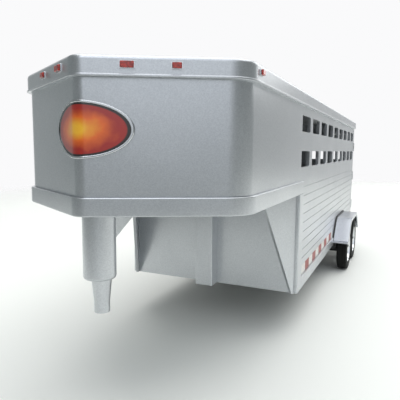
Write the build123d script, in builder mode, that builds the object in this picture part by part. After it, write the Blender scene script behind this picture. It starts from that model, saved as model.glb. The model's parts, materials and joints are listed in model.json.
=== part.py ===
"""Model gooseneck livestock trailer, 1:20.  +Z up, nose towards -Y, origin on the ground
under the middle of the model.  All sizes in millimetres."""
import os
from math import asin, atan2, cos, degrees, sin

from build123d import *

# ---- driving dimensions ----
half_width = 52.0          # outer face of the side skin
proud = 1.5                # rails, posts and the roof band stand this far out
lip_proud = 1.9            # rolled lip along the roof band's lower edge
skin = 2.0                 # moulded wall
box_length = 287.7
nose_corner = 87.1         # from the bulkhead forward to the nose's side corners
nose_apex = 116.7          # and to its point, both before rounding
corner_radius = 12.4
apex_radius = 5.0
frame_depth = 5.0          # rear door frame, along the trailer
hinge_reach = 1.3          # hinge axis behind the frame's rear face
knuckle_radius = 1.2
pin_radius = 0.6
running_gap = 0.05         # radial, pins and axles in their bores
free_gap = 0.4             # between faces that pass each other

underside_z = 25.5
deck_z = 31.0
deck_thickness = 2.5
neck_z = 80.9
rail_height = 6.9
band_z = 129.3
ceiling_z = 134.7
roof_z = 136.7

wheel_radius = 19.0
axle_spacing = 43.0
tandem_back = 188.5        # bulkhead to the middle of the two axles
axle_radius = 1.5
tyre_inner_x = 55.2
tyre_width = 8.6
fender_x = 65.4

slope = atan2(nose_apex - nose_corner, half_width)   # nose face, from straight across
tip_reach = (nose_apex + lip_proud / cos(slope)
             - (apex_radius + lip_proud) * (1 / cos(slope) - 1))
rear_reach = box_length + hinge_reach + knuckle_radius
bulkhead_y = (tip_reach - rear_reach) / 2
rear_y = bulkhead_y + box_length
jamb_y = rear_y - frame_depth
tandem_y = bulkhead_y + tandem_back
rail_top_z = neck_z + rail_height
inner_x = half_width - skin
post_depth = 9.7           # corner post's side leg
post_front = 0.5           # its front leg stands this far ahead of the bulkhead

os.makedirs("parts", exist_ok=True)
sides = {"left": 1, "right": -1}


def keep(part, label):
    part.label = label
    export_step(part, f"parts/{label}.step")


def block(x, y, z, mode=Mode.ADD):
    """Box between low and high values of x, y and z, given in either order."""
    centre = [(low + high) / 2 for low, high in (x, y, z)]
    with Locations(tuple(centre)):
        Box(*[abs(high - low) for low, high in (x, y, z)], mode=mode)


def rod(start, direction, radius, length, mode=Mode.ADD):
    """Cylinder from a start point along a direction."""
    with BuildSketch(Plane(origin=start, z_dir=direction)) as section:
        Circle(radius)
    extrude(section.sketch, amount=length, mode=mode)


def outline(outset, back_y):
    """Plan of the V-nose and box, moved out from the skin, closed straight across at back_y."""
    width = half_width + outset
    corner_y = bulkhead_y - nose_corner - outset * (1 - sin(slope)) / cos(slope)
    apex_y = bulkhead_y - nose_apex - outset / cos(slope)
    with BuildSketch() as plan:
        with BuildLine():
            Polyline((width, back_y), (width, corner_y), (0, apex_y), (-width, corner_y),
                     (-width, back_y), close=True)
        make_face()
        fillet(plan.vertices().group_by(Axis.Y)[1], corner_radius + outset)
        fillet(plan.vertices().group_by(Axis.Y)[0], apex_radius + outset)
    return plan.sketch


def slab(low_z, high_z, outset, back_y, mode=Mode.ADD):
    with BuildSketch(Plane.XY.offset(low_z)) as plan:
        add(outline(outset, back_y))
    extrude(plan.sketch, amount=high_z - low_z, mode=mode)


def wall(low_z, high_z, outer, inner, back_y):
    """Upright wall that follows the nose, open across the back."""
    with BuildSketch(Plane.XY.offset(low_z)) as plan:
        add(outline(outer, back_y))
        add(outline(inner, back_y + proud), mode=Mode.SUBTRACT)
    extrude(plan.sketch, amount=high_z - low_z)


# ---- roof ----
roof_rounding = 1.6
lip_height = 0.8
with BuildPart() as roof:
    slab(band_z, roof_z, proud, rear_y)
    fillet(roof.faces().sort_by(Axis.Z)[-1].edges(), roof_rounding)
    slab(band_z, band_z + lip_height, lip_proud, rear_y)
    slab(band_z, ceiling_z, 0, rear_y - proud, mode=Mode.SUBTRACT)
keep(roof.part, "roof")

# ---- nose and neck ----
with BuildPart() as nose_shell:
    wall(rail_top_z, ceiling_z, 0, -skin, bulkhead_y)
keep(nose_shell.part, "nose_shell")

with BuildPart() as neck_rail:
    wall(neck_z, rail_top_z, proud, 0, bulkhead_y + post_depth)
    wall(neck_z, rail_top_z, 0, -skin, bulkhead_y)
keep(neck_rail.part, "neck_rail")

neck_floor_z = neck_z + 0.4
neck_floor_top = neck_floor_z + 2.4
with BuildPart() as neck_floor:
    slab(neck_floor_z, neck_floor_top, -skin, bulkhead_y)
keep(neck_floor.part, "neck_floor")

# ---- bulkhead under the neck ----
with BuildPart() as front_wall:
    block((-inner_x, inner_x), (bulkhead_y, bulkhead_y + skin), (underside_z, neck_floor_top))
keep(front_wall.part, "front_wall")

post_half = 5.26
post_out = 8.5
post_wall = 1.4
with BuildPart() as front_post:
    block((-post_half, post_half), (bulkhead_y - post_out, bulkhead_y), (underside_z, neck_floor_z))
    fillet(front_post.edges().filter_by(Axis.Z).group_by(Axis.Y)[0], 0.5)
    block((post_wall - post_half, post_half - post_wall),
          (bulkhead_y - post_out + post_wall, bulkhead_y), (underside_z, neck_floor_z - post_wall),
          mode=Mode.SUBTRACT)
keep(front_post.part, "front_post")

for word, side in sides.items():
    leg_x = (side * inner_x, side * half_width)
    with BuildPart() as corner_post:
        block((side * half_width, side * (half_width + proud)),
              (bulkhead_y - post_front, bulkhead_y + post_depth), (underside_z, neck_z))
        block(leg_x, (bulkhead_y - post_front, bulkhead_y), (underside_z, neck_z))
        front_edges = corner_post.edges().filter_by(Axis.Z).group_by(Axis.Y)[0]
        fillet(front_edges.sort_by(Axis.X, reverse=side > 0)[0], 0.8)
    keep(corner_post.part, f"corner_post_{word}")

gusset_thickness = 1.8
gusset_foot = 1.6          # width at the lower end
gusset_in = 12.3           # the plates run in and forward under the neck
gusset_forward = 23.7
gusset_reach = (gusset_in ** 2 + gusset_forward ** 2) ** 0.5
for word, side in sides.items():
    along = Vector(-side * gusset_in, -gusset_forward, 0).normalized()
    corner = (side * inner_x, bulkhead_y, 0)
    rail_x = (side * inner_x, side * (half_width + proud))
    with BuildPart() as neck_gusset:
        with BuildSketch(Plane(origin=corner, x_dir=along, z_dir=along.cross(Vector(0, 0, 1)))):
            with BuildLine():
                Polyline((0, underside_z), (0, neck_floor_z), (gusset_reach, neck_floor_z),
                         (gusset_foot, underside_z), close=True)
            make_face()
        extrude(amount=-side * gusset_thickness)
        block(rail_x, (bulkhead_y - post_front, bulkhead_y), (underside_z, neck_z),
              mode=Mode.SUBTRACT)
        block(rail_x, (bulkhead_y - post_depth, bulkhead_y), (neck_z, neck_floor_z),
              mode=Mode.SUBTRACT)
    keep(neck_gusset.part, f"neck_gusset_{word}")

# ---- gooseneck coupler ----
coupler_y = bulkhead_y - 105.2
tube_radius = 6.26
tube_bottom = 55.9
shank_radius = 3.94
land_radius = 3.0          # cylindrical end that drops into the hitch socket
land_top = 46.5
tip_z = 42.4
tip_rounding = 1.0
pin_back = 1.0             # the pin sits a little behind the tube's axis
pin_y = coupler_y + pin_back
shank_top = tube_bottom + 14
with BuildPart() as coupler_tube:
    rod((0, coupler_y, tube_bottom), (0, 0, 1), tube_radius, neck_floor_z - tube_bottom)
    fillet(coupler_tube.faces().sort_by(Axis.Z)[0].edges(), 1.1)
    rod((0, pin_y, tube_bottom), (0, 0, 1), shank_radius + 0.02,
        shank_top - tube_bottom + 1, mode=Mode.SUBTRACT)
keep(coupler_tube.part, "coupler_tube")

with BuildPart() as coupler_pin:
    with BuildSketch(Plane(origin=(0, pin_y, 0), x_dir=(1, 0, 0), z_dir=(0, -1, 0))) as half:
        with BuildLine():
            Polyline((0, tip_z), (land_radius, tip_z), (land_radius, land_top),
                     (shank_radius, tube_bottom), (shank_radius, shank_top), (0, shank_top),
                     close=True)
        make_face()
        lowest = half.vertices().group_by(Axis.Z)[0].sort_by(Axis.X)[-1]
        fillet(lowest, tip_rounding)
    revolve(axis=Axis((0, pin_y, 0), (0, 0, 1)))
keep(coupler_pin.part, "coupler_pin")

rib_low = 68.0             # rib's corner on the tube, and its reach back along the neck
rib_back = 24.0
rib_half = 0.8
with BuildPart() as coupler_rib:
    tube_back = coupler_y + tube_radius
    with BuildSketch(Plane.YZ.offset(-rib_half)):
        with BuildLine():
            Polyline((coupler_y + tube_radius / 2, rib_low), (tube_back, rib_low),
                     (tube_back + rib_back, neck_floor_z),
                     (coupler_y + tube_radius / 2, neck_floor_z), close=True)
        make_face()
    extrude(amount=2 * rib_half)
    rod((0, coupler_y, tube_bottom), (0, 0, 1), tube_radius, 40, mode=Mode.SUBTRACT)
keep(coupler_rib.part, "coupler_rib")

# ---- side panels, with windows and slat grooves ----
window_rows = ((95.5, 104.5), (115.3, 124.1))
window_first = 6.7
window_pitch = 31.1
window_length = 23.3
window_count = 9
groove_top = 83.9
groove_pitch = 5.306
groove_count = 9
groove_depth = 0.35
groove_height = 0.5

door_y = (bulkhead_y + 20, bulkhead_y + 46)      # escape doorway, right side
door_z = (38.4, 92.0)                            # its sill is above the tape


def grooves(x, y):
    """Slat grooves cut across a face, over the given spans."""
    for row in range(groove_count):
        z = groove_top - row * groove_pitch
        block(x, y, (z, z + groove_height), mode=Mode.SUBTRACT)


for word, side in sides.items():
    with BuildPart() as panel:
        block((side * (half_width - skin), side * half_width), (bulkhead_y, jamb_y),
              (underside_z, ceiling_z))
        for low, high in window_rows:
            for number in range(window_count):
                start = bulkhead_y + window_first + number * window_pitch
                with BuildSketch(Plane.YZ.offset(side * half_width)):
                    with Locations((start + window_length / 2, (low + high) / 2)):
                        RectangleRounded(window_length, high - low, 0.5)
                extrude(amount=-side * skin, mode=Mode.SUBTRACT)
        grooves((side * (half_width - groove_depth), side * half_width),
                (bulkhead_y + post_depth, jamb_y))
        if word == "right":
            block((-half_width, skin - half_width), door_y, door_z, mode=Mode.SUBTRACT)
    keep(panel.part, f"side_panel_{word}")

rail_z = (underside_z, 32.0)
fender_half = 49.0
for word, side in sides.items():
    with BuildPart() as sill:
        for start, end in ((bulkhead_y + post_depth, tandem_y - fender_half),
                           (tandem_y + fender_half, rear_y)):
            block((side * half_width, side * (half_width + proud)), (start, end), rail_z)
        top_edges = sill.edges().filter_by(Axis.Y).group_by(Axis.Z)[-1]
        fillet(top_edges.sort_by(Axis.X, reverse=side > 0)[:2], 0.4)
    keep(sill.part, f"bottom_rail_{word}")

# ---- reflective tape, short red end and then equal stretches ----
tape_z = (32.0, 37.4)
tape_first = 4.0
tape_step = 11.9
tape_thickness = 0.15
tape_ends = ((bulkhead_y + 11, tandem_y - fender_half + 1),
             (tandem_y + fender_half - 1, jamb_y))


def tape_strips(start, end):
    """Spans of the strip by colour: red first."""
    spans = {"red": [], "white": []}
    place, colour, length = start, "red", tape_first
    while place < end - 1:
        spans[colour].append((place, min(place + length, end)))
        place, length = place + length, tape_step
        colour = "white" if colour == "red" else "red"
    return spans


for colour in ("red", "white"):
    with BuildPart() as tape:
        for side in sides.values():
            for start, end in tape_ends:
                for span in tape_strips(start, end)[colour]:
                    block((side * half_width, side * (half_width + tape_thickness)), span, tape_z)
    keep(tape.part, f"tape_{colour}")

# ---- floor ----
with BuildPart() as floor_deck:
    block((-inner_x, inner_x), (bulkhead_y + skin, jamb_y), (deck_z - deck_thickness, deck_z))
keep(floor_deck.part, "floor_deck")

member_count = 9
member_half = 1.5
with BuildPart() as cross_members:
    spacing = (jamb_y - bulkhead_y - skin) / (member_count + 1)
    for number in range(1, member_count + 1):
        y = bulkhead_y + skin + number * spacing
        block((-inner_x, inner_x), (y - member_half, y + member_half),
              (underside_z, deck_z - deck_thickness))
keep(cross_members.part, "cross_members")

screw_radius = 1.7
screw_height = 0.9
slot_size = (2.2, 0.5)     # each arm of the cross, also its depth
screw_x = 38.0
screw_bays = (0.5, 4.5, 8.5)        # midway between cross members
head_z = deck_z - deck_thickness - screw_height
with BuildPart() as floor_screws:
    for bay in screw_bays:
        for x in (-screw_x, screw_x):
            y = bulkhead_y + skin + bay * spacing
            rod((x, y, head_z), (0, 0, 1), screw_radius, screw_height)
            for long, wide in (slot_size, slot_size[::-1]):
                block((x - long / 2, x + long / 2), (y - wide / 2, y + wide / 2),
                      (head_z, head_z + slot_size[1]), mode=Mode.SUBTRACT)
    fillet(floor_screws.edges().filter_by(GeomType.CIRCLE).group_by(Axis.Z)[0], 0.3)
keep(floor_screws.part, "floor_screws")

# ---- rear door frame ----
opening_x = 46.0
opening_z = (deck_z, 124.0)
gate_hinge_x = half_width - 0.6
gate_hinge_y = rear_y + hinge_reach
gate_hinge_z = (45.0, 77.0, 109.0)
knuckle_half = 2.0         # moving knuckle, above and below its middle
knuckle_top = 4.3          # outer ends of the fixed knuckles
knuckle_gap = 0.3
leaf_reach = 4.0           # fixed leaves, from the hinge axis
leaf_thickness = 0.9
pin_head = 0.5


def fixed_knuckles(x, y, z, leaf_x, leaf_y):
    """Two knuckles above and below z on an upright axis, each with its leaf."""
    for low, high in ((z - knuckle_top, z - knuckle_half - knuckle_gap),
                      (z + knuckle_half + knuckle_gap, z + knuckle_top)):
        rod((x, y, low), (0, 0, 1), knuckle_radius, high - low)
        block(leaf_x, leaf_y, (low, high))
        rod((x, y, low), (0, 0, 1), pin_radius + 0.01, high - low, mode=Mode.SUBTRACT)


def moving_knuckle(x, y, z, strap_x, strap_y):
    """Knuckle at z on an upright axis with its strap, bored for the pin."""
    rod((x, y, z - knuckle_half), (0, 0, 1), knuckle_radius, 2 * knuckle_half)
    block(strap_x, strap_y, (z - knuckle_half, z + knuckle_half))
    rod((x, y, z - knuckle_half), (0, 0, 1), pin_radius + running_gap, 2 * knuckle_half,
        mode=Mode.SUBTRACT)


def hinge_pins(x, y, heights):
    """One headed pin for each hinge on an upright axis."""
    for z in heights:
        rod((x, y, z - knuckle_top), (0, 0, 1), pin_radius, 2 * knuckle_top)
        rod((x, y, z + knuckle_top), (0, 0, 1), knuckle_radius * 0.8, pin_head)


with BuildPart() as rear_frame:
    block((-half_width, half_width), (jamb_y, rear_y), (underside_z, band_z))
    block((-inner_x, inner_x), (jamb_y, rear_y - proud), (band_z, ceiling_z))
    block((-opening_x, opening_x), (jamb_y, rear_y), opening_z, mode=Mode.SUBTRACT)
    for z in gate_hinge_z:
        fixed_knuckles(gate_hinge_x, gate_hinge_y, z, (gate_hinge_x - leaf_reach, gate_hinge_x),
                       (rear_y, rear_y + leaf_thickness))
keep(rear_frame.part, "rear_frame")

with BuildPart() as gate_hinge_pins:
    hinge_pins(gate_hinge_x, gate_hinge_y, gate_hinge_z)
keep(gate_hinge_pins.part, "gate_hinge_pins")

# ---- levers that turn on a headed pivot ----
lever_thickness = 0.9
lever_half = 1.1
lever_gap = 0.4            # each side of the lever
pivot_head = (1.1, 0.5)    # radius and thickness


def latch_pivot(place, out, boss_radius, boss_height):
    """Boss, pivot and head standing out from a face."""
    reach = boss_height + 2 * lever_gap + lever_thickness
    rod(place, out, boss_radius, boss_height)
    rod(place, out, pin_radius, reach)
    rod(place + out * reach, out, *pivot_head)


def lever(plane, long, nose):
    """Flat lever about its plane's origin: a handle down local -Y and a nose along local -X."""
    with BuildPart() as made:
        with BuildSketch(plane):
            with Locations((0, -long / 2)):
                RectangleRounded(2 * lever_half, long + 2 * lever_half, 1.0)
            with Locations((-nose / 2, 0)):
                RectangleRounded(nose + 2 * lever_half, 2 * lever_half, 1.0)
            Circle(pin_radius + running_gap, mode=Mode.SUBTRACT)
        extrude(amount=lever_thickness)
    return made.part


# ---- rear gate and its half-width sliding gate ----
gate_y = (rear_y - 3.4, rear_y - 1.0)
gate_x = opening_x - free_gap
gate_z = (opening_z[0] + free_gap, opening_z[1] - free_gap)
slide_doorway_x = (-40.0, -3.0)
slide_doorway_z = (36.0, 117.0)
gate_windows_x = (6.0, 38.0)
gate_windows_z = ((95.5, 104.5), (108.5, 116.0))
strap_start = 28.0
strap_y = rear_y + 1.3
latch_place = Vector(-42.8, gate_y[1], 77.0)
latch_boss = (1.7, 1.0)    # radius and height
backward = Vector(0, 1, 0)
with BuildPart() as rear_gate:
    block((-gate_x, gate_x), gate_y, gate_z)
    for span in gate_windows_z:
        block(gate_windows_x, gate_y, span, mode=Mode.SUBTRACT)
    grooves((0, gate_x), (gate_y[1] - groove_depth, gate_y[1]))
    block(slide_doorway_x, gate_y, slide_doorway_z, mode=Mode.SUBTRACT)
    for z in gate_hinge_z:
        block((strap_start, gate_x), (gate_y[1] - groove_depth, strap_y),
              (z - knuckle_half, z + knuckle_half))
        moving_knuckle(gate_hinge_x, gate_hinge_y, z, (gate_x - 1, gate_hinge_x),
                       (rear_y + free_gap, strap_y))
    latch_pivot(latch_place, backward, *latch_boss)
keep(rear_gate.part, "rear_gate")

slider_thickness = 1.6
slider_y = (gate_y[0] - free_gap - slider_thickness, gate_y[0] - free_gap)
slider_z = (35.4, 119.0)   # the lower track stays clear of a load on the deck
slider_x = (-42.0, 0.0)
slider_windows_x = (-36.0, -8.0)
pull_x = (-39.2, -36.8)
pull_z = (70.0, 82.0)
track_x = (-44.0, 44.0)
track_wall = 1.6
track_lip = 2.0
track_back = slider_y[0] - free_gap - 0.8
with BuildPart() as slide_tracks:
    for edge, out in ((slider_z[1], 1), (slider_z[0], -1)):
        near = edge + out * free_gap
        block(track_x, (track_back, gate_y[0]), (near, near + out * track_wall))
        block(track_x, (track_back, slider_y[0] - free_gap), (near, near - out * track_lip))
keep(slide_tracks.part, "slide_tracks")

with BuildPart() as slide_gate:
    block(slider_x, slider_y, slider_z)
    for span in gate_windows_z:
        block(slider_windows_x, slider_y, span, mode=Mode.SUBTRACT)
    block(pull_x, (slider_y[1], rear_y - 1.2), pull_z)
keep(slide_gate.part, "slide_gate")

lever_back = latch_place + backward * (latch_boss[1] + lever_gap + lever_thickness)
keep(lever(Plane(origin=lever_back, x_dir=(1, 0, 0), z_dir=(0, -1, 0)), 15.0, 6.5), "gate_latch")

# ---- centre gate, inside ----
centre_y = bulkhead_y + 150.0
centre_hinge_x = -48.2
centre_hinge_z = (48.0, 108.0)
centre_z = (33.6, 122.0)
centre_x = (-46.2, 46.8)
centre_bays_x = ((-42.0, -1.5), (1.5, 43.0))
bar_gap = 11.0
bar_height = 3.0
centre_rim = 4.0
with BuildPart() as centre_gate:
    block(centre_x, (centre_y - 1, centre_y + 1), centre_z)
    for number in range(6):
        low = centre_z[0] + centre_rim + number * (bar_gap + bar_height)
        for x in centre_bays_x:
            block(x, (centre_y - 1, centre_y + 1), (low, low + bar_gap), mode=Mode.SUBTRACT)
    for z in centre_hinge_z:
        moving_knuckle(centre_hinge_x, centre_y, z, (centre_hinge_x, -46.0),
                       (centre_y - 0.7, centre_y + 0.7))
keep(centre_gate.part, "centre_gate")

with BuildPart() as centre_brackets:
    for z in centre_hinge_z:
        fixed_knuckles(centre_hinge_x, centre_y, z, (-inner_x, centre_hinge_x),
                       (centre_y - 1, centre_y + 1))
keep(centre_brackets.part, "centre_gate_brackets")

with BuildPart() as centre_pins:
    hinge_pins(centre_hinge_x, centre_y, centre_hinge_z)
keep(centre_pins.part, "centre_gate_pins")

# ---- escape door, right side ----
door_hinge_x = -53.3
door_hinge_y = door_y[0] - 1.4
door_hinge_z = (48.0, 80.0)
strap_out = -53.25         # outer face of its hinge straps
leaf_out = -52.9
door_latch = Vector(-half_width, door_y[1] - 4.0, 64.0)
door_boss = (1.5, 0.7)
rightward = Vector(-1, 0, 0)
with BuildPart() as escape_door:
    block((-half_width, skin - half_width), (door_y[0] + free_gap, door_y[1] - free_gap),
          (door_z[0] + free_gap, door_z[1] - free_gap))
    grooves((-half_width, groove_depth - half_width), door_y)
    for z in door_hinge_z:
        block((groove_depth - half_width, strap_out), (door_y[0] + 1, door_y[0] + 13),
              (z - knuckle_half, z + knuckle_half))
        moving_knuckle(door_hinge_x, door_hinge_y, z, (strap_out, -half_width - free_gap),
                       (door_hinge_y, door_y[0] + 2))
    latch_pivot(door_latch, rightward, *door_boss)
keep(escape_door.part, "escape_door")

with BuildPart() as escape_brackets:
    for z in door_hinge_z:
        fixed_knuckles(door_hinge_x, door_hinge_y, z, (leaf_out, -half_width),
                       (door_hinge_y - leaf_reach, door_hinge_y))
keep(escape_brackets.part, "escape_door_brackets")

with BuildPart() as escape_pins:
    hinge_pins(door_hinge_x, door_hinge_y, door_hinge_z)
keep(escape_pins.part, "escape_door_pins")

lever_front = door_latch + rightward * (door_boss[1] + lever_gap)
keep(lever(Plane(origin=lever_front, x_dir=(0, -1, 0), z_dir=rightward), 9.0, 3.5),
     "escape_latch")

# ---- fenders over both wheels of a side ----
fender_foot = 27.4
fender_top = 46.0
fender_skin = 1.2
fender_lip = 3.2
fender_run = 45.0          # half lengths at the foot and along the top, before rounding
fender_flat = 26.0
fender_corner = 17.0
seal_out = 0.8
seal_width = 1.1


def fender_outline(inset):
    """Side view about the middle of the tandem, moved in by inset, closed at the ground."""
    foot, top = fender_run - inset * 1.4, fender_flat - inset / 2
    with BuildSketch() as view:
        with BuildLine():
            Polyline((-foot, 0), (-foot, fender_foot), (-top, fender_top - inset),
                     (top, fender_top - inset), (foot, fender_foot), (foot, 0), close=True)
        make_face()
        fillet(view.vertices().group_by(Axis.Y)[-1], fender_corner)
    return view.sketch


def fender_solid(low_x, high_x, inset, mode=Mode.ADD):
    """Fender outline run along X."""
    with BuildSketch(Plane(origin=(low_x, tandem_y, 0), x_dir=(0, 1, 0), z_dir=(1, 0, 0))) as view:
        add(fender_outline(inset))
    extrude(view.sketch, amount=high_x - low_x, mode=mode)


for word, side in sides.items():
    near, far = side * half_width, side * fender_x
    under = (0, far + side)
    span = (tandem_y - fender_half - 1, tandem_y + fender_half + 1)
    with BuildPart() as fender:
        fender_solid(near, far, 0)
        block((near, far), (tandem_y - fender_half, tandem_y + fender_half),
              (fender_foot, fender_foot + fender_skin))
        fender_solid(near - side, far - side * fender_skin, fender_skin, Mode.SUBTRACT)
        fender_solid(near - side, far + side, fender_lip, Mode.SUBTRACT)
        block(under, span, (-1, fender_foot), mode=Mode.SUBTRACT)
    keep(fender.part, f"fender_{word}")
    with BuildPart() as seal:
        fender_solid(near, near + side * seal_width, -seal_out)
        fender_solid(near, near + side * seal_width, 0, Mode.SUBTRACT)
        block(under, span, (-1, fender_foot + fender_skin), mode=Mode.SUBTRACT)
    keep(seal.part, f"fender_seal_{word}")

# ---- running gear ----
axle_places = {"front": tandem_y - axle_spacing / 2, "rear": tandem_y + axle_spacing / 2}
beam_x = (46.0, 53.6)
beam_z = (20.0, underside_z)
beam_length = 72.0
boss_radius = 4.2
for word, side in sides.items():
    with BuildPart() as beam:
        with BuildSketch(Plane.YZ.offset(beam_x[0] if side > 0 else -beam_x[1])):
            with Locations((tandem_y, sum(beam_z) / 2)):
                Rectangle(beam_length, beam_z[1] - beam_z[0])
            for y in axle_places.values():
                with Locations((y, wheel_radius)):
                    Circle(boss_radius)
            for y in axle_places.values():
                with Locations((y, wheel_radius)):
                    Circle(axle_radius + 0.02, mode=Mode.SUBTRACT)
        extrude(amount=beam_x[1] - beam_x[0])
    keep(beam.part, f"suspension_beam_{word}")

hub_outer_x = 61.0
axle_end_x = hub_outer_x + 0.3
axle_head = (2.3, 0.8)     # radius and thickness, keeps the wheel on
for word, y in axle_places.items():
    with BuildPart() as axle:
        rod((-axle_end_x, y, wheel_radius), (1, 0, 0), axle_radius, 2 * axle_end_x)
        for side in sides.values():
            rod((side * axle_end_x, y, wheel_radius), (side, 0, 0), *axle_head)
    keep(axle.part, f"axle_{word}")

# one wheel about the X axis, outer side towards +X, measured from the trailer's middle
bead_radius = 12.2
tyre_outer_x = tyre_inner_x + tyre_width
tread_grooves = (-2.2, 0.0, 2.2)
notch_count = 32
with BuildPart() as tyre:
    with BuildSketch(Plane.XY) as section:
        with BuildLine():
            Polyline((tyre_inner_x, bead_radius), (tyre_inner_x, wheel_radius),
                     (tyre_outer_x, wheel_radius), (tyre_outer_x, bead_radius + 1.0),
                     (tyre_outer_x - 0.9, bead_radius + 1.0), (tyre_outer_x - 0.9, bead_radius),
                     close=True)
        make_face()
        fillet(section.vertices().group_by(Axis.Y)[-1], 1.8)
        for place in tread_grooves:
            with Locations((tyre_inner_x + tyre_width / 2 + place, wheel_radius)):
                Rectangle(0.6, 1.2, mode=Mode.SUBTRACT)
    revolve(axis=Axis.X)
    for number in range(notch_count):
        turn = number * 360 / notch_count
        with Locations(Rot(turn, 0, 0) * Pos(tyre_inner_x + 1.1, 0, wheel_radius),
                       Rot(turn, 0, 0) * Pos(tyre_outer_x - 1.1, 0, wheel_radius)):
            Box(2.6, 0.8, 1.2, mode=Mode.SUBTRACT)

hub_radius = 4.0
hub_inner_x = 55.8
disc_x = 59.6
hand_hole_count = 8
hand_hole_ring = 8.2
hand_hole_radius = 1.25
lug_ring = 5.4
lug_radius = 0.6
flange_x = tyre_outer_x - 0.85      # outer flange, over the bead
with BuildPart() as rim:
    with BuildSketch(Plane.XY):
        with BuildLine():
            Polyline((hub_inner_x, axle_radius + running_gap), (hub_inner_x, hub_radius),
                     (disc_x, hub_radius), (disc_x, bead_radius - 2.2),
                     (disc_x - 1.6, bead_radius - 1.0), (hub_inner_x, bead_radius - 1.0),
                     (hub_inner_x, bead_radius), (flange_x, bead_radius),
                     (flange_x, bead_radius + 0.9), (flange_x + 0.5, bead_radius + 0.9),
                     (flange_x + 0.5, bead_radius - 0.3), (disc_x + 2.2, bead_radius - 1.0),
                     (disc_x + 1.2, bead_radius - 2.6), (disc_x + 0.8, hub_radius),
                     (hub_outer_x, hub_radius), (hub_outer_x, axle_radius + running_gap),
                     close=True)
        make_face()
    revolve(axis=Axis.X)
    for number in range(hand_hole_count):
        hole_turn = Rot(number * 360 / hand_hole_count, 0, 0)
        lug_turn = Rot((number + 0.5) * 360 / hand_hole_count, 0, 0)
        with Locations(hole_turn * Pos(disc_x + 0.5, 0, hand_hole_ring) * Rot(0, 90, 0)):
            Cylinder(hand_hole_radius, 4, mode=Mode.SUBTRACT)
        with Locations(lug_turn * Pos(disc_x + 1.0, 0, lug_ring) * Rot(0, 90, 0)):
            Cylinder(lug_radius, 1.2)

cap_bore = 2.8             # clears the axle's head
cap_radius = 3.6
cap_side = 1.4             # straight side before the dome
dome_rise = 1.5
cap_wall = 0.2             # flat under the dome
dome_radius = (cap_radius ** 2 + dome_rise ** 2) / (2 * dome_rise)
dome_start = hub_outer_x + cap_side
dome_centre = dome_start + dome_rise - dome_radius
dome_angle = degrees(asin(cap_radius / dome_radius))
with BuildPart() as hub_cap:
    with BuildSketch(Plane.XY):
        with BuildLine():
            Polyline((dome_centre + dome_radius, 0), (dome_start + cap_wall, 0),
                     (dome_start + cap_wall, cap_bore), (hub_outer_x, cap_bore),
                     (hub_outer_x, cap_radius), (dome_start, cap_radius))
            CenterArc((dome_centre, 0), dome_radius, 0, dome_angle)
        make_face()
    revolve(axis=Axis.X)

for end, y in axle_places.items():
    for word, side in sides.items():
        turn = 0 if side > 0 else 180
        for piece, name in ((tyre, "tyre"), (rim, "rim"), (hub_cap, "hub_cap")):
            placed = piece.part.moved(Location((0, y, wheel_radius), (0, 0, turn)))
            keep(placed, f"{name}_{end}_{word}")

# ---- lamps on the roof band ----
lamp_z = 133.3
lamp_size = (4.9, 2.4)
small_lamp = (3.5, 2.2)
lamp_places = {1: (18.5, 35.5), -1: (12.5, 31.0)}      # from the point, along each nose face
side_lamp_y = bulkhead_y - 76.5
rear_lamps_x = (-9.0, 0.0, 9.0)
tail_lamp = (48.9, 36.0)   # out from the middle, and up
base_border = 0.5
base_thickness = 0.4
lens_thickness = 0.8
apex = Vector(0, bulkhead_y - nose_apex - proud / cos(slope), lamp_z)


def lamp_planes():
    """Face plane and lens size of each lamp round the roof band."""
    places = []
    for side in sides.values():
        along = Vector(side * cos(slope), sin(slope), 0)
        out = Vector(side * sin(slope), -cos(slope), 0)
        for distance, size in zip(lamp_places[side], (lamp_size, small_lamp)):
            places.append((Plane(origin=apex + along * distance, x_dir=along, z_dir=out), size))
        places.append((Plane(origin=(side * (half_width + proud), side_lamp_y, lamp_z),
                             x_dir=(0, 1, 0), z_dir=(side, 0, 0)), small_lamp))
    for x in rear_lamps_x:
        places.append((Plane(origin=(x, rear_y, lamp_z), x_dir=(1, 0, 0), z_dir=(0, 1, 0)),
                       small_lamp))
    return places


with BuildPart() as lamp_bases:
    for plane, (long, high) in lamp_planes():
        with BuildSketch(plane):
            RectangleRounded(long + base_border, high + base_border, 0.5)
        extrude(amount=base_thickness)
keep(lamp_bases.part, "lamp_bases")

with BuildPart() as lamp_lenses:
    for plane, (long, high) in lamp_planes():
        with BuildSketch(plane.offset(base_thickness)):
            RectangleRounded(long, high, 0.4)
        extrude(amount=lens_thickness, taper=12)
keep(lamp_lenses.part, "lamp_lenses")

with BuildPart() as tail_lamps:
    for side in sides.values():
        rod((side * tail_lamp[0], rear_y, tail_lamp[1]), (0, 1, 0), 2.0, 0.9)
keep(tail_lamps.part, "tail_lamps")

# ---- egg-shaped badge, wrapped round the point of the nose ----
badge_z = 111.4
badge_middle = 0.5
badge_blunt = 15.5         # half lengths of its two ends
badge_point = 17.1
badge_half_height = 10.1
badge_border = 0.9


def egg(shrink):
    """Blunt half to -X, pointed half to +X."""
    with BuildSketch() as shape:
        for length, direction in ((badge_blunt, -1), (badge_point, 1)):
            with BuildSketch(mode=Mode.PRIVATE) as half:
                Ellipse(length - shrink, badge_half_height - shrink)
                with Locations((-direction * 25, 0)):
                    Rectangle(50, 50, mode=Mode.SUBTRACT)
            add(half.sketch)
    return shape.sketch


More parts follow.
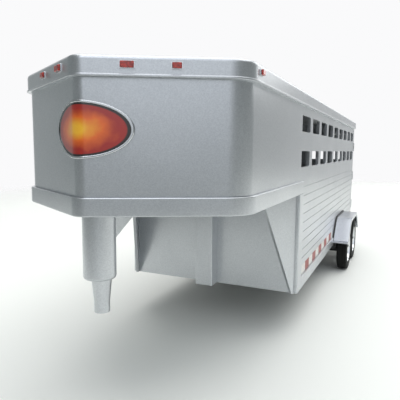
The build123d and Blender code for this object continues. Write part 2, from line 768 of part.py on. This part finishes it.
def badge_layer(outset, shrink, hole=None):
    """Layer on the nose skin inside the egg outline, less an inner egg."""
    with BuildPart() as layer:
        with BuildSketch(Plane.XY.offset(badge_z - 15)):
            add(outline(outset, bulkhead_y - 60))
            add(outline(0, bulkhead_y), mode=Mode.SUBTRACT)
        extrude(amount=30)
        front = Plane(origin=(badge_middle, bulkhead_y - 60, badge_z), x_dir=(1, 0, 0),
                      z_dir=(0, -1, 0))
        with BuildSketch(front):
            add(egg(shrink))
            if hole:
                add(egg(hole), mode=Mode.SUBTRACT)
        extrude(amount=80, mode=Mode.INTERSECT)
    return layer.part


keep(badge_layer(0.9, 0, badge_border), "badge_rim")
keep(badge_layer(0.6, badge_border), "badge_face")
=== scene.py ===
import bpy
import json
import math
from mathutils import Matrix, Vector


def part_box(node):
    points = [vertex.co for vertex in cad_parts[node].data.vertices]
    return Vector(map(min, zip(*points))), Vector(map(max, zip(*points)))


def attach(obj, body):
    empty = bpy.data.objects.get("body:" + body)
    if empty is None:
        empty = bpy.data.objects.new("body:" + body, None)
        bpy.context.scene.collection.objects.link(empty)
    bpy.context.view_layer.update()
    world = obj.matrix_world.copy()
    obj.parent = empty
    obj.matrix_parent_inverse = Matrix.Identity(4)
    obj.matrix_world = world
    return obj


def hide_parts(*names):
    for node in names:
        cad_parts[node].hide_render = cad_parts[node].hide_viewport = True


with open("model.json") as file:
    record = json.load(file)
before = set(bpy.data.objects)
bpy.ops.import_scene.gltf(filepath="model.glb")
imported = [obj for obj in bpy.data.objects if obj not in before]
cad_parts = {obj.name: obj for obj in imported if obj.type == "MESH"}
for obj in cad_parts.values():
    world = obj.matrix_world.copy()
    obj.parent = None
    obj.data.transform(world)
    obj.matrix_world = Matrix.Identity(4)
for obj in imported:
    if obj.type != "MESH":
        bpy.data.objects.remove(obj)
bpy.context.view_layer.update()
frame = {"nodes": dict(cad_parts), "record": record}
nodes = frame["nodes"]
mm = 0.001


def linear(hexColour):
    # sRGB hex to linear RGBA
    parts = [int(hexColour[i:i + 2], 16) / 255 for i in (1, 3, 5)]
    return tuple(c / 12.92 if c <= 0.04045 else ((c + 0.055) / 1.055) ** 2.4 for c in parts) + (1.0,)


def addNode(owner, kind, settings=None, **links):
    # one node of a material or the world, its settings by name, and its inputs as values or outputs
    tree = owner.node_tree
    node = tree.nodes.new(kind)
    for name, value in (settings or {}).items():
        setattr(node, name, value)
    for name, value in links.items():
        numbered = name[0] == "n" and name[1:].isdigit()
        socket = node.inputs[int(name[1:]) if numbered else name.replace("_", " ")]
        if isinstance(value, bpy.types.NodeSocket):
            tree.links.new(value, socket)
        else:
            socket.default_value = value
    return node


def newMaterial(name, **values):
    material = bpy.data.materials.new(name)
    material.use_nodes = True
    shader = material.node_tree.nodes["Principled BSDF"]
    for key, value in values.items():
        shader.inputs[key.replace("_", " ")].default_value = value
    return material, shader


def plug(material, output, shader, socket):
    material.node_tree.links.new(output, shader.inputs[socket])


def ramp(node, stops):
    elements = node.color_ramp.elements
    while len(elements) < len(stops):
        elements.new(0.5)
    for element, (place, colour) in zip(elements, stops):
        element.position = place
        element.color = linear(colour)


def selectOnly(obj):
    bpy.ops.object.select_all(action="DESELECT")
    obj.select_set(True)
    bpy.context.view_layer.objects.active = obj


noiseLow, noiseHigh = 0.3, 0.7      # most of a noise texture lies between these

silverPaint = {
    "colour": "#C3C6C9", "dark": "#BABDC1", "light": "#CCCFD2",
    "flake": 0.35 * mm,         # real flake is about 0.05 mm, drawn coarser so that it shows
    "metallic": 0.88, "roughness": 0.30, "smoother": 0.02, "rougher": 0.04,
    "patchesPerMetre": 45.0,    # the gloss varies over about 22 mm
    "peel": 3.0 * mm, "peelDepth": 0.012 * mm, "peelStrength": 0.4,
}


def makeSilverPaint(name, settings):
    # satin aluminium-flake paint on moulded ABS: flake in its tone, faint orange peel in its relief
    material, shader = newMaterial(name, Metallic=settings["metallic"])
    where = addNode(material, "ShaderNodeTexCoord").outputs["Object"]
    flakes = addNode(material, "ShaderNodeTexVoronoi", Vector=where, Scale=1 / settings["flake"])
    tone = addNode(material, "ShaderNodeValToRGB", n0=flakes.outputs["Color"])
    ramp(tone, [(0.0, settings["dark"]), (0.5, settings["colour"]), (1.0, settings["light"])])
    plug(material, tone.outputs["Color"], shader, "Base Color")
    cloud = addNode(material, "ShaderNodeTexNoise", Vector=where, Scale=settings["patchesPerMetre"],
                    Detail=3.0)
    gloss = addNode(material, "ShaderNodeMapRange", Value=cloud.outputs["Fac"],
                    n1=noiseLow, n2=noiseHigh,
                    n3=settings["roughness"] - settings["smoother"],
                    n4=settings["roughness"] + settings["rougher"])
    plug(material, gloss.outputs["Result"], shader, "Roughness")
    peel = addNode(material, "ShaderNodeTexNoise", Vector=where, Scale=1 / settings["peel"], Detail=2.0)
    waves = addNode(material, "ShaderNodeBump", Strength=settings["peelStrength"],
                    Distance=settings["peelDepth"], Height=peel.outputs["Fac"])
    plug(material, waves.outputs["Normal"], shader, "Normal")
    return material


shellPaint = makeSilverPaint("silverFlakePaint", silverPaint)
fenderPaint = makeSilverPaint("brightSilverPaint",
                              dict(silverPaint, colour="#B5B8BF", dark="#AFB2B9", light="#BCBFC6",
                                   metallic=0.92, roughness=0.24))
lampSilver = makeSilverPaint("lampBezelSilver",
                             dict(silverPaint, colour="#D4D6D8", dark="#C6C8CA", light="#E2E4E6",
                                  metallic=0.8, roughness=0.25))

tyreRubber = {
    "colour": "#0E100F", "worn": "#1A1C1A", "roughness": 0.72, "specular": 0.25,
    "patchesPerMetre": 180.0,   # dust in patches of about 6 mm
    "dustStart": 0.35, "dustFull": 0.75,
    "grain": 0.5 * mm, "grainDepth": 0.03 * mm, "grainStrength": 0.4,
}


def makeTyreRubber(name, settings):
    # moulded black rubber: matt, with dusty grey patches
    material, shader = newMaterial(name, Roughness=settings["roughness"],
                                   Specular_IOR_Level=settings["specular"])
    where = addNode(material, "ShaderNodeTexCoord").outputs["Object"]
    cloud = addNode(material, "ShaderNodeTexNoise", Vector=where, Scale=settings["patchesPerMetre"],
                    Detail=4.0)
    tone = addNode(material, "ShaderNodeValToRGB", n0=cloud.outputs["Fac"])
    ramp(tone, [(settings["dustStart"], settings["colour"]), (settings["dustFull"], settings["worn"])])
    plug(material, tone.outputs["Color"], shader, "Base Color")
    grain = addNode(material, "ShaderNodeTexNoise", Vector=where, Scale=1 / settings["grain"], Detail=2.0)
    bump = addNode(material, "ShaderNodeBump", Strength=settings["grainStrength"],
                   Distance=settings["grainDepth"], Height=grain.outputs["Fac"])
    plug(material, bump.outputs["Normal"], shader, "Normal")
    return material


rubber = makeTyreRubber("tyreRubber", tyreRubber)

platedPlastic = {
    "colour": "#D8DADC", "roughness": 0.10, "rougher": 0.08,
    "wavesPerMetre": 260.0,     # waves of about 4 mm
    "waveDepth": 0.02 * mm, "waveStrength": 0.25,
}


def makePlated(name, settings):
    # vacuum-plated plastic: bright mirror with the moulding's faint waviness under it
    material, shader = newMaterial(name, Metallic=1.0, Base_Color=linear(settings["colour"]))
    where = addNode(material, "ShaderNodeTexCoord").outputs["Object"]
    cloud = addNode(material, "ShaderNodeTexNoise", Vector=where, Scale=settings["wavesPerMetre"],
                    Detail=3.0)
    gloss = addNode(material, "ShaderNodeMapRange", Value=cloud.outputs["Fac"],
                    n1=noiseLow, n2=noiseHigh,
                    n3=settings["roughness"], n4=settings["roughness"] + settings["rougher"])
    plug(material, gloss.outputs["Result"], shader, "Roughness")
    bump = addNode(material, "ShaderNodeBump", Strength=settings["waveStrength"],
                   Distance=settings["waveDepth"], Height=cloud.outputs["Fac"])
    plug(material, bump.outputs["Normal"], shader, "Normal")
    return material


plating = makePlated("platedChrome", platedPlastic)
badgeChrome = makePlated("badgeChrome", dict(platedPlastic, colour="#D2D4D6", roughness=0.16))

mouldedPlastic = {
    "colour": "#17191A", "variation": "#202223",
    "roughness": 0.48, "smoother": 0.05, "rougher": 0.07,
    "patchesPerMetre": 70.0,    # the tone varies over about 14 mm
    "grain": 0.5 * mm, "grainDepth": 0.03 * mm, "grainStrength": 0.35,
}


def makeMoulded(name, settings):
    # moulded ABS with a fine spark-eroded grain
    material, shader = newMaterial(name)
    where = addNode(material, "ShaderNodeTexCoord").outputs["Object"]
    cloud = addNode(material, "ShaderNodeTexNoise", Vector=where, Scale=settings["patchesPerMetre"],
                    Detail=4.0)
    tone = addNode(material, "ShaderNodeValToRGB", n0=cloud.outputs["Fac"])
    ramp(tone, [(noiseLow, settings["colour"]), (noiseHigh, settings["variation"])])
    plug(material, tone.outputs["Color"], shader, "Base Color")
    grain = addNode(material, "ShaderNodeTexNoise", Vector=where, Scale=1 / settings["grain"], Detail=2.0)
    gloss = addNode(material, "ShaderNodeMapRange", Value=grain.outputs["Fac"],
                    n3=settings["roughness"] - settings["smoother"],
                    n4=settings["roughness"] + settings["rougher"])
    plug(material, gloss.outputs["Result"], shader, "Roughness")
    bump = addNode(material, "ShaderNodeBump", Strength=settings["grainStrength"],
                   Distance=settings["grainDepth"], Height=grain.outputs["Fac"])
    plug(material, bump.outputs["Normal"], shader, "Normal")
    return material


blackPlastic = makeMoulded("mouldedBlackPlastic", mouldedPlastic)
deckPlastic = makeMoulded("mouldedGreyDeck",
                          dict(mouldedPlastic, colour="#5A5D5E", variation="#64686A", roughness=0.6,
                               grain=0.6 * mm))

drawnSteel = {
    "dark": "#8E8F90", "light": "#A9AAAB", "smooth": 0.26, "rough": 0.42,
    "grainPerMetre": 900.0,     # grain of about 1 mm
}


def makeSteel(name, settings):
    # drawn steel wire: fine grain in its tone and gloss
    material, shader = newMaterial(name, Metallic=1.0)
    where = addNode(material, "ShaderNodeTexCoord").outputs["Object"]
    grain = addNode(material, "ShaderNodeTexNoise", Vector=where, Scale=settings["grainPerMetre"],
                    Detail=2.0)
    tone = addNode(material, "ShaderNodeValToRGB", n0=grain.outputs["Fac"])
    ramp(tone, [(noiseLow, settings["dark"]), (noiseHigh, settings["light"])])
    plug(material, tone.outputs["Color"], shader, "Base Color")
    gloss = addNode(material, "ShaderNodeMapRange", Value=grain.outputs["Fac"],
                    n3=settings["smooth"], n4=settings["rough"])
    plug(material, gloss.outputs["Result"], shader, "Roughness")
    return material


pinSteel = makeSteel("drawnSteelPin", drawnSteel)

lampLens = {
    "colour": "#C8301C", "deep": "#7E150C", "roughness": 0.12, "coat": 0.6, "coatRoughness": 0.05,
    "cell": 0.7 * mm, "cellDepth": 0.08 * mm, "cellStrength": 0.3, "inner": 0.1, "outer": 0.8,
}
reflectiveTape = {
    "colour": "#A8433A", "deep": "#8E3A33", "roughness": 0.42, "coat": 0.0, "coatRoughness": 0.03,
    "cell": 0.9 * mm, "cellDepth": 0.02 * mm, "cellStrength": 0.2, "inner": 0.2, "outer": 0.9,
}


def makeCelled(name, settings):
    # reflector plastics, a glossy lens or satin printed film: small cells, deeper in colour at their edges
    material, shader = newMaterial(name, Roughness=settings["roughness"], Coat_Weight=settings["coat"],
                                   Coat_Roughness=settings["coatRoughness"])
    where = addNode(material, "ShaderNodeTexCoord").outputs["Object"]
    cells = addNode(material, "ShaderNodeTexVoronoi", Vector=where, Scale=1 / settings["cell"])
    tone = addNode(material, "ShaderNodeValToRGB", n0=cells.outputs["Distance"])
    ramp(tone, [(settings["inner"], settings["colour"]), (settings["outer"], settings["deep"])])
    plug(material, tone.outputs["Color"], shader, "Base Color")
    bump = addNode(material, "ShaderNodeBump", Strength=settings["cellStrength"],
                   Distance=settings["cellDepth"], Height=cells.outputs["Distance"])
    plug(material, bump.outputs["Normal"], shader, "Normal")
    return material


redLens = makeCelled("redLens", lampLens)
tapeRed = makeCelled("reflectiveRed", reflectiveTape)
tapeWhite = makeCelled("reflectiveWhite", dict(reflectiveTape, colour="#EDE9E4", deep="#D2CFCB"))

badgePrint = {
    "core": "#F2B52A", "mid": "#E06410", "rim": "#9E1A0E", "line": "#120C0A",
    "coreAt": 0.15, "midAt": 0.5, "rimAt": 0.8,
    "lineStart": 0.91, "lineFull": 0.94,
    "middle": 0.5 * mm,         # where the egg's blunt and pointed halves meet
    "roughness": 0.3, "coat": 1.0, "coatRoughness": 0.04,
    "smokePerMetre": 150.0, "sway": 0.5,    # soft edges to the glow, about 7 mm across
}


def makeBadgePrint(name, settings):
    # plain warm print under clear domed resin: glow in the middle, dark line at the rim
    low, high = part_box("badge_face")
    middle, centre, height = settings["middle"], (high.z + low.z) / 2, (high.z - low.z) / 2
    material, shader = newMaterial(name, Roughness=settings["roughness"], Coat_Weight=settings["coat"],
                                   Coat_Roughness=settings["coatRoughness"])
    where = addNode(material, "ShaderNodeTexCoord").outputs["Object"]
    part = addNode(material, "ShaderNodeSeparateXYZ", Vector=where)
    pointed = addNode(material, "ShaderNodeMapRange", {"clamp": False}, Value=part.outputs["X"],
                      n1=middle, n2=high.x)
    blunt = addNode(material, "ShaderNodeMapRange", {"clamp": False}, Value=part.outputs["X"],
                    n1=middle, n2=low.x)
    across = addNode(material, "ShaderNodeMath", {"operation": "MAXIMUM"},
                     n0=pointed.outputs["Result"], n1=blunt.outputs["Result"])
    up = addNode(material, "ShaderNodeMapRange", {"clamp": False}, Value=part.outputs["Z"],
                 n1=centre, n2=centre + height)
    spread = addNode(material, "ShaderNodeCombineXYZ", X=across.outputs["Value"], Z=up.outputs["Result"])
    reach = addNode(material, "ShaderNodeVectorMath", {"operation": "LENGTH"}, n0=spread.outputs["Vector"])
    smoke = addNode(material, "ShaderNodeTexNoise", Vector=where, Scale=settings["smokePerMetre"],
                    Detail=3.0)
    sway = addNode(material, "ShaderNodeMath", {"operation": "MULTIPLY_ADD"},
                   n0=smoke.outputs["Fac"], n1=settings["sway"], n2=-settings["sway"] / 2)
    mixed = addNode(material, "ShaderNodeMath", {"operation": "ADD"},
                    n0=reach.outputs["Value"], n1=sway.outputs["Value"])
    glow = addNode(material, "ShaderNodeValToRGB", n0=mixed.outputs["Value"])
    ramp(glow, [(settings[key + "At"], settings[key]) for key in ("core", "mid", "rim")])
    edge = addNode(material, "ShaderNodeMapRange", Value=reach.outputs["Value"],
                   n1=settings["lineStart"], n2=settings["lineFull"])
    tone = addNode(material, "ShaderNodeMixRGB", Fac=edge.outputs["Result"],
                   n1=glow.outputs["Color"], n2=linear(settings["line"]))
    plug(material, tone.outputs["Color"], shader, "Base Color")
    return material


badgeResin = makeBadgePrint("badgePrint", badgePrint)

slotMaterials = {
    "silver_shell": shellPaint, "silver_trim": shellPaint, "silver_fender": fenderPaint,
    "deck_grey": deckPlastic, "black_plastic": blackPlastic, "tyre_rubber": rubber,
    "plated_rim": plating, "pin_steel": pinSteel, "lens_red": redLens, "lamp_silver": lampSilver,
    "tape_red": tapeRed, "tape_white": tapeWhite, "badge_chrome": badgeChrome, "badge_print": badgeResin,
}
slotOf = {entry["node"]: entry["material_slot"] for entry in frame["record"]["subparts"]}
bodyOf = {node: body for body, members in frame["record"]["behaviour"]["bodies"].items() for node in members}
for name, obj in nodes.items():
    obj.data.materials.clear()
    obj.data.materials.append(slotMaterials[slotOf[name]])
print("materials", len(slotMaterials))

# moulded and painted pieces have small round edges, which catch the light; widths in mm
edgeRounding = {
    "roof": 0.35, "nose_shell": 0.2, "neck_rail": 0.45, "side_panel_left": 0.16, "side_panel_right": 0.16,
    "front_post": 0.35, "corner_post_left": 0.3, "corner_post_right": 0.3, "neck_gusset_left": 0.35,
    "neck_gusset_right": 0.35, "coupler_rib": 0.3, "rear_frame": 0.3, "rear_gate": 0.15, "slide_gate": 0.25,
    "centre_gate": 0.3, "escape_door": 0.12, "bottom_rail_left": 0.3, "bottom_rail_right": 0.3,
    "fender_left": 0.3, "fender_right": 0.3, "suspension_beam_left": 0.4, "suspension_beam_right": 0.4,
    "front_wall": 0.3, "gate_latch": 0.2, "escape_latch": 0.2, "badge_face": 0.3, "badge_rim": 0.25,
    "lamp_lenses": 0.2, "floor_deck": 0.2, "cross_members": 0.3, "slide_tracks": 0.2,
}
edgeFinish = {
    "merge": 0.002 * mm, "segments": 2, "normalWeight": 100,
    "flatAngle": 0.6, "sharpAngle": 40, "smoothAngle": 35,      # degrees
    "seam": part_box("side_panel_left")[0].y,     # nose and sides meet flush here, with no groove
    "seamReach": 0.01 * mm,
}


def roundEdges(name, width, settings):
    copy = nodes[name].copy()
    copy.data = nodes[name].data.copy()
    copy.name = name + "_moulded"
    for key in list(copy.keys()):
        if key.startswith("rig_"):
            del copy[key]
    copy.parent = None
    bpy.context.scene.collection.objects.link(copy)
    selectOnly(copy)
    bpy.ops.object.mode_set(mode="EDIT")
    bpy.ops.mesh.select_all(action="SELECT")
    bpy.ops.mesh.remove_doubles(threshold=settings["merge"])
    bpy.ops.mesh.dissolve_limited(angle_limit=math.radians(settings["flatAngle"]))
    bpy.ops.mesh.select_mode(type="EDGE")
    bpy.ops.mesh.select_all(action="DESELECT")
    bpy.ops.mesh.edges_select_sharp(sharpness=math.radians(settings["sharpAngle"]))
    bpy.ops.object.mode_set(mode="OBJECT")
    mesh = copy.data
    weights = mesh.attributes.new("bevel_weight_edge", "FLOAT", "EDGE")
    for edge in mesh.edges:
        gaps = [abs(mesh.vertices[end].co.y - settings["seam"]) for end in edge.vertices]
        offSeam = max(gaps) > settings["seamReach"]
        weights.data[edge.index].value = float(edge.select and offSeam)
    bpy.ops.object.modifier_add(type="BEVEL")
    bevel = copy.modifiers[-1]
    bevel.width = width * mm
    bevel.segments = settings["segments"]
    bevel.limit_method = "WEIGHT"
    bpy.ops.object.modifier_apply(modifier=bevel.name)
    if "bevel_weight_edge" in mesh.attributes:
        mesh.attributes.remove(mesh.attributes["bevel_weight_edge"])
    bpy.ops.object.shade_smooth_by_angle(angle=math.radians(settings["smoothAngle"]))
    bpy.ops.object.modifier_add(type="WEIGHTED_NORMAL")      # keeps the broad faces flat
    level = copy.modifiers[-1]
    level.weight = settings["normalWeight"]
    level.keep_sharp = True
    bpy.ops.object.modifier_apply(modifier=level.name)
    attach(copy, bodyOf[name])
    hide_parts(name)


for name, width in edgeRounding.items():
    roundEdges(name, width, edgeFinish)
print("moulded edges", len(edgeRounding))

studio = {
    "floorSize": 5.0, "floor": "#F6F7F2", "roughness": 0.8,
    "middle": (0.12, 0.38, 0), "fadeStart": 0.64, "fadeEnd": 1.05,   # where it becomes backdrop
}


def makeFloor(settings):
    # matt paper sweep that melts into the backdrop, so that no edge of it shows
    bpy.ops.object.select_all(action="DESELECT")
    bpy.ops.mesh.primitive_plane_add(size=settings["floorSize"])
    floor = bpy.context.object
    floor.name = "floor"
    material, shader = newMaterial("palePaper", Roughness=settings["roughness"],
                                   Base_Color=linear(settings["floor"]))
    where = addNode(material, "ShaderNodeTexCoord").outputs["Object"]
    away = addNode(material, "ShaderNodeVectorMath", {"operation": "DISTANCE"}, n0=where,
                   n1=settings["middle"])
    fade = addNode(material, "ShaderNodeMapRange", {"interpolation_type": "SMOOTHSTEP"},
                   Value=away.outputs["Value"], n1=settings["fadeStart"], n2=settings["fadeEnd"])
    clear = addNode(material, "ShaderNodeBsdfTransparent")
    blend = addNode(material, "ShaderNodeMixShader", n0=fade.outputs["Result"],
                    n1=shader.outputs["BSDF"], n2=clear.outputs["BSDF"])
    surface = material.node_tree.nodes["Material Output"].inputs["Surface"]
    material.node_tree.links.new(blend.outputs["Shader"], surface)
    floor.data.materials.append(material)


makeFloor(studio)

cameraSet = {
    "place": (0.10234, -0.32296, 0.10459), "turn": 24.69, "down": 6.52, "roll": 0.42,   # degrees
    "lens": 39.24, "sensor": 36, "nearest": 0.01,
}


def makeCamera(settings):
    turn, down, roll = (math.radians(settings[key]) for key in ("turn", "down", "roll"))
    ahead = Vector((-math.sin(turn) * math.cos(down), math.cos(turn) * math.cos(down), -math.sin(down)))
    right = Vector((math.cos(turn), math.sin(turn), 0))
    up = right.cross(ahead)
    rightRolled = right * math.cos(roll) + up * math.sin(roll)
    upRolled = up * math.cos(roll) - right * math.sin(roll)
    data = bpy.data.cameras.new("camera")
    data.lens = settings["lens"]
    data.sensor_width = settings["sensor"]
    data.clip_start = settings["nearest"]
    camera = bpy.data.objects.new("camera", data)
    turned = Matrix((rightRolled, upRolled, -ahead)).transposed().to_4x4()
    camera.matrix_world = Matrix.Translation(settings["place"]) @ turned
    bpy.context.scene.collection.objects.link(camera)
    bpy.context.scene.camera = camera


makeCamera(cameraSet)

lights = {
    "overhead": {"place": (0.1, 0.15, 1.4), "aim": (0, 0.05, 0),
                 "size": 1.9, "power": 21.5, "colour": "#FFFFFF"},
    "front": {"place": (0.25, -1.0, 0.75), "aim": (0, -0.15, 0.1),
              "size": 0.5, "power": 0.8, "colour": "#EEF3FF"},
    "back": {"place": (0.7, 1.5, 0.9), "aim": (0.05, 0.05, 0.05),
             "size": 1.0, "power": 6.0, "colour": "#FFFFFF"},
}


def makeLight(name, settings):
    data = bpy.data.lights.new(name, "AREA")
    data.size = settings["size"]
    data.energy = settings["power"]
    data.color = linear(settings["colour"])[:3]
    lamp = bpy.data.objects.new(name, data)
    lamp.location = settings["place"]
    toTrailer = Vector(settings["aim"]) - Vector(settings["place"])
    lamp.rotation_euler = toTrailer.to_track_quat("-Z", "Y").to_euler()
    bpy.context.scene.collection.objects.link(lamp)


for name, light in lights.items():
    makeLight(name, light)

# room round the trailer: dim, with soft panels; azimuth from +X, full and gone are half angles
room = {"dim": (0.23, 0.25, 0.25), "backdrop": "#FAFAFB"}
panels = {
    "backdrop": {"azimuth": 119, "height": 0, "full": 35, "gone": 49, "light": (0.71, 0.695, 0.70)},
    "softbox": {"azimuth": -60, "height": 34, "full": 20, "gone": 41, "light": (0.82, 0.85, 0.92)},
    "leftWall": {"azimuth": 182, "height": 5, "full": 10, "gone": 38, "light": (0.02, 0.03, 0.03)},
}


def makeRoom(settings, panels):
    world = bpy.data.worlds.new("room")
    bpy.context.scene.world = world
    world.use_nodes = True
    toward = addNode(world, "ShaderNodeTexCoord").outputs["Generated"]
    total = settings["dim"]
    for panel in panels.values():
        azimuth, height = math.radians(panel["azimuth"]), math.radians(panel["height"])
        aim = (math.cos(azimuth) * math.cos(height), math.sin(azimuth) * math.cos(height), math.sin(height))
        facing = addNode(world, "ShaderNodeVectorMath", {"operation": "DOT_PRODUCT"}, n0=toward, n1=aim)
        glow = addNode(world, "ShaderNodeMapRange", {"interpolation_type": "SMOOTHSTEP"},
                       Value=facing.outputs["Value"], n1=math.cos(math.radians(panel["gone"])),
                       n2=math.cos(math.radians(panel["full"])))
        lit = addNode(world, "ShaderNodeVectorMath", {"operation": "SCALE"},
                      n0=panel["light"], Scale=glow.outputs["Result"])
        total = addNode(world, "ShaderNodeVectorMath", {"operation": "ADD"},
                        n0=total, n1=lit.outputs["Vector"]).outputs["Vector"]
    # seen directly, the room is a plain pale backdrop
    seen = addNode(world, "ShaderNodeLightPath").outputs["Is Camera Ray"]
    shown = addNode(world, "ShaderNodeMixRGB", Fac=seen, n1=total, n2=linear(settings["backdrop"]))
    background = world.node_tree.nodes["Background"]
    world.node_tree.links.new(shown.outputs["Color"], background.inputs["Color"])


makeRoom(room, panels)

bpy.context.scene.view_settings.view_transform = "Standard"
print("studio")
